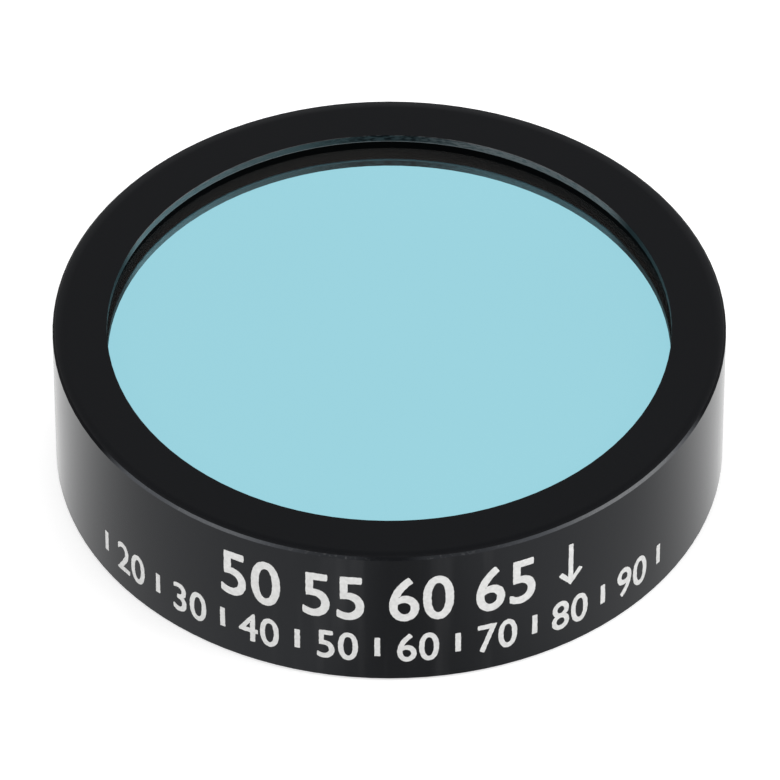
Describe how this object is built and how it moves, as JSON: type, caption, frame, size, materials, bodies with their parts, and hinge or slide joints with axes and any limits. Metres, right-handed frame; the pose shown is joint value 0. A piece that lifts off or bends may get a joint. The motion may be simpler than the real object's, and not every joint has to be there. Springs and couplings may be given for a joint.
{
  "type": "optical bandpass filter",
  "caption": "Round mounted optical bandpass filter: a laminated coated-glass stack held in a thin-lipped black metal ring, with a mirror-like cyan front face.",
  "frame": {"origin": "centre of the mount ring's back face, on the optical axis", "axes": "+Z along the optical axis, from the back face towards the mirror-like front face that light enters; X and Y are free, the part is round"},
  "size_m": [0.0254, 0.0254, 0.0063],
  "materials": {
    "black_anodised": "black anodised, satin",
    "black_spacer": "matte black film washer",
    "mirror_coated_glass": "polished, with a mirror-like cyan multilayer coating on the front",
    "blocking_glass": "polished, with a blocking coating",
    "colour_glass": "polished deep red long-pass glass",
    "optical_epoxy": "clear index-matched epoxy",
    "seal_epoxy": "black filled epoxy"
  },
  "bodies": {
    "root": {"mount_ring": "black_anodised", "front_spacer": "black_spacer", "bandpass_glass": "mirror_coated_glass", "front_epoxy": "optical_epoxy", "blocking_glass": "blocking_glass", "rear_epoxy": "optical_epoxy", "colour_glass": "colour_glass", "edge_seal": "seal_epoxy", "retaining_ring": "black_anodised"}
  },
  "joints": []
}
